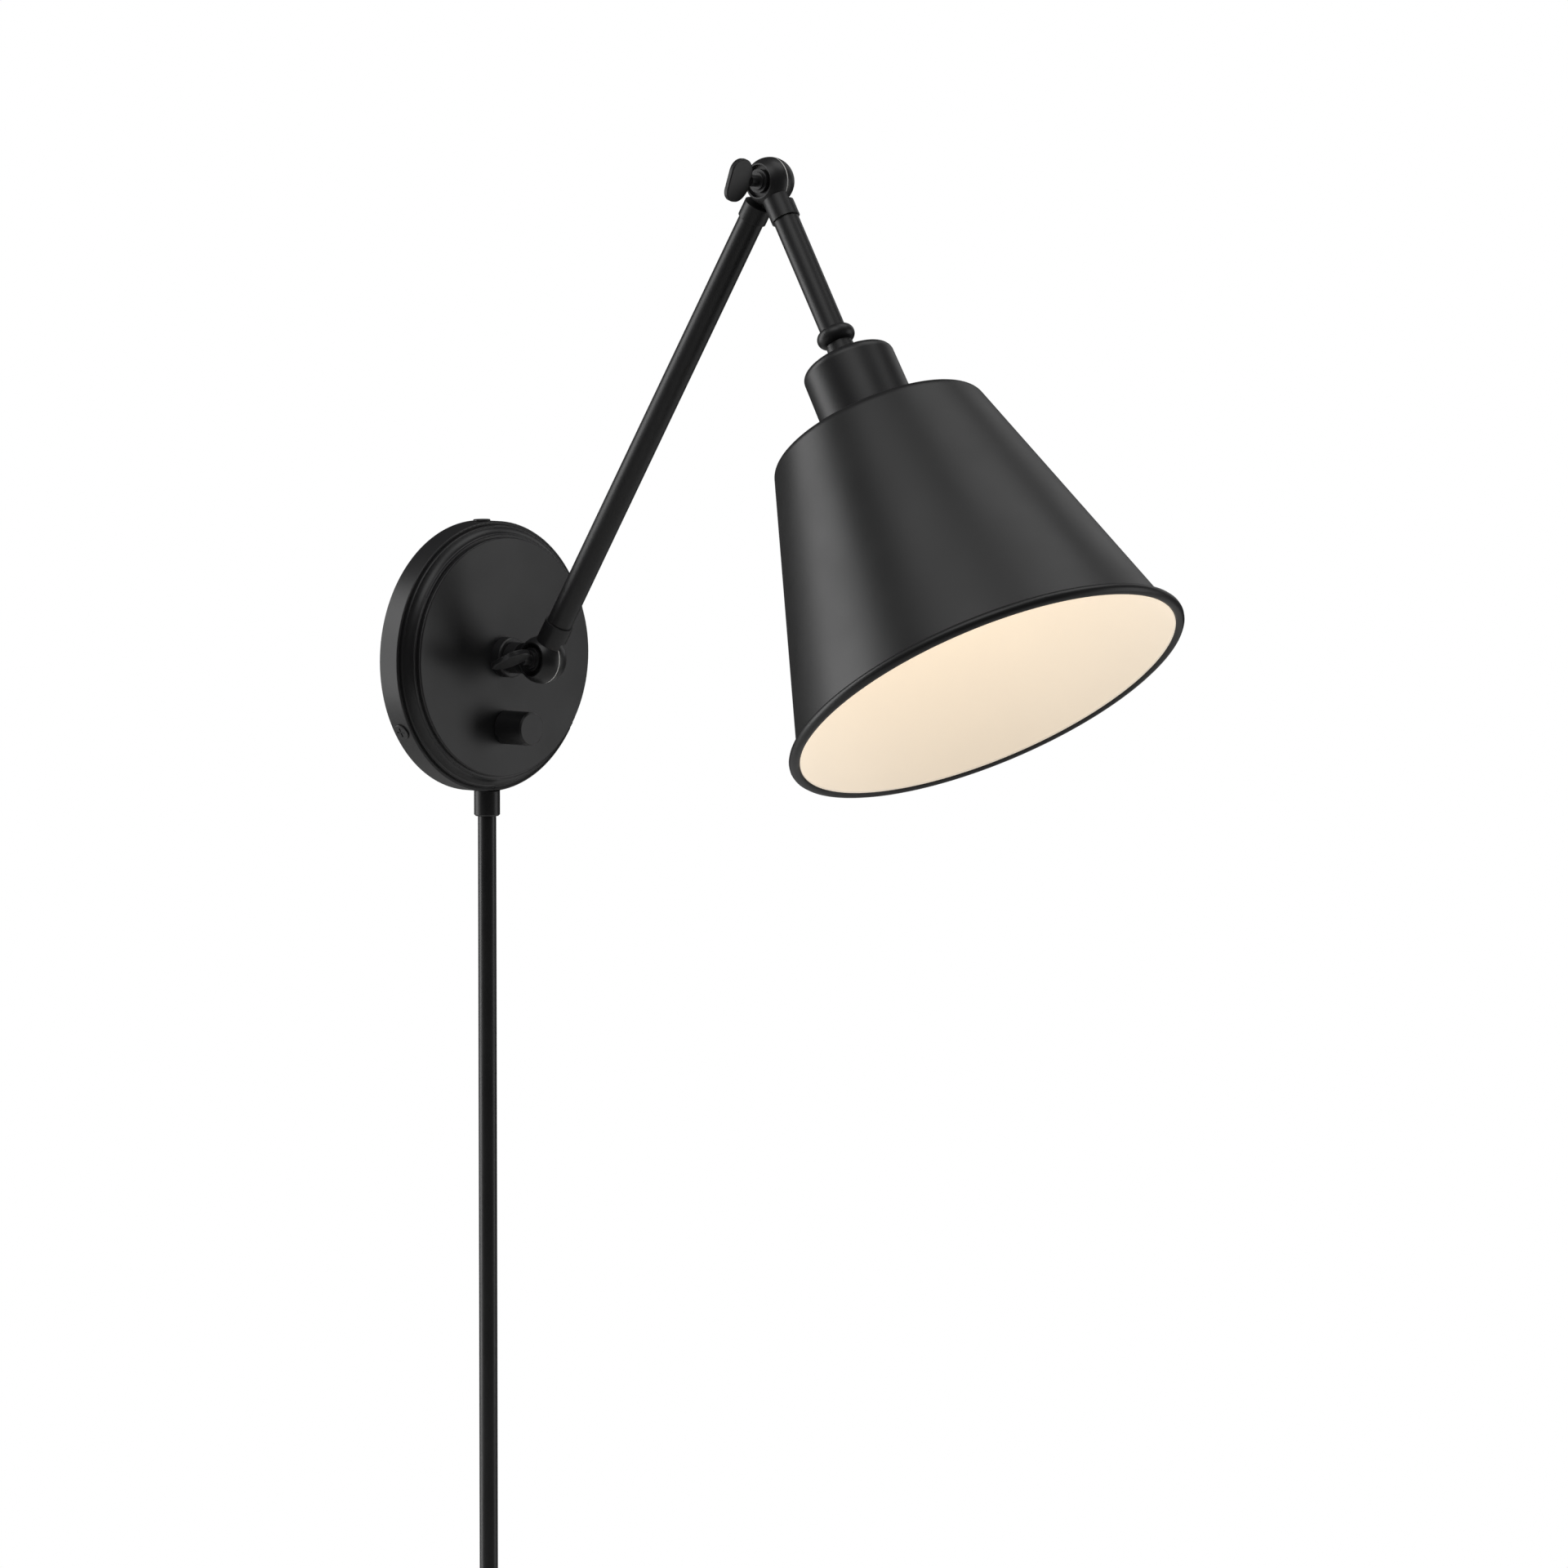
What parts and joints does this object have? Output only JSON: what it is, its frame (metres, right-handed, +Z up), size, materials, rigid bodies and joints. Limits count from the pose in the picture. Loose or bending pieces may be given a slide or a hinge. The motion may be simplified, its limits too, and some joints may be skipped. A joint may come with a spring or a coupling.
{
  "type": "swing arm wall sconce",
  "caption": "Black wall sconce: round backplate, jointed arms with clamping thumb keys, tapered shade with rolled rim, knob and hanging cord; lights a bed, chair or desk from the wall.",
  "frame": {"origin": "centre of the backplate on the wall plane, at the middle of the junction box screws", "axes": "+Y into the wall, -Y out into the room, +Z up, +X to the right seen from the room"},
  "size_m": [0.2022, 0.4289, 1.012],
  "materials": {
    "black_paint": "satin black powder paint",
    "shade_paint": "satin black paint outside, warm white inside",
    "bright_steel": "zinc plated",
    "brass": "plain brass",
    "cord_jacket": "satin black jacket",
    "black_plastic": "moulded black",
    "nylon": "natural nylon",
    "socket_insulator": "moulded insulator",
    "lead_black": "insulated wire",
    "lead_white": "insulated wire",
    "green": "green plated",
    "wire_nut_orange": "moulded",
    "bulb_base": "plated",
    "bulb_glass": "opal"
  },
  "bodies": {
    "wall_plate": {"mounting_plate": "bright_steel", "backplate": "black_paint", "side_screws": "black_paint", "ground_screw": "green", "stem_boss": "black_paint", "boss_nut": "bright_steel", "switch_body": "black_plastic", "switch_nut": "bright_steel", "cord_gland": "black_paint", "gland_nut": "black_plastic", "hot_lead": "lead_black", "neutral_lead": "lead_white", "arm_hot_lead": "lead_black", "arm_neutral_lead": "lead_white", "wire_nut": "wire_nut_orange", "cord": "cord_jacket", "cord_coil": "cord_jacket", "cord_tie": "black_plastic", "cord_tail": "cord_jacket", "plug_relief": "black_plastic", "plug_body": "black_plastic", "plug_prongs": "brass"},
    "stem": {"wall_knuckle": "black_paint", "stem_washer": "bright_steel", "stem_nut": "bright_steel"},
    "lower_arm": {"lower_knuckle": "black_paint", "lower_washer": "nylon", "lower_tube": "black_paint", "elbow_yoke": "black_paint", "lower_cable": "lead_black"},
    "lower_key": {"lower_key": "black_paint"},
    "upper_arm": {"elbow_knuckle": "black_paint", "elbow_washer": "nylon", "upper_tube": "black_paint", "bead_ring": "black_paint", "cup_neck": "black_paint", "socket_cup": "black_paint", "cup_nut": "bright_steel", "socket_body": "socket_insulator", "socket_shell": "brass", "socket_contact": "brass", "shade_ring": "socket_insulator", "shade": "shade_paint", "bulb_base": "bulb_base", "bulb_glass": "bulb_glass", "upper_cable": "lead_black"},
    "upper_key": {"upper_key": "black_paint"},
    "knob": {"knob": "black_paint", "switch_shaft": "brass", "knob_screw": "bright_steel"}
  },
  "joints": [
    {"name": "stem_swivel", "type": "hinge", "parent": "wall_plate", "child": "stem", "pos_m": [0, -0.0463, 0], "axis": [0, 1, 0], "range_deg": [-60, 60]},
    {"name": "lower_arm_tilt", "type": "hinge", "parent": "stem", "child": "lower_arm", "pos_m": [0, -0.0463, 0], "axis": [0.999, 0, -0.0454], "range_deg": [-31, 73]},
    {"name": "upper_arm_tilt", "type": "hinge", "parent": "lower_arm", "child": "upper_arm", "pos_m": [0.01083, -0.19093, 0.23857], "axis": [0.999, 0, -0.0454], "range_deg": [-115, 5]},
    {"name": "lower_key_turn", "type": "hinge", "parent": "lower_arm", "child": "lower_key", "pos_m": [0, -0.0463, 0], "axis": [0.999, 0, -0.0454], "range_deg": [-180, 0]},
    {"name": "upper_key_turn", "type": "hinge", "parent": "upper_arm", "child": "upper_key", "pos_m": [0.01083, -0.19093, 0.23857], "axis": [0.999, 0, -0.0454], "range_deg": [-180, 0]},
    {"name": "knob_turn", "type": "hinge", "parent": "wall_plate", "child": "knob", "pos_m": [0, -0.03, -0.035], "axis": [0, 1, 0], "range_deg": [-270, 30]}
  ]
}
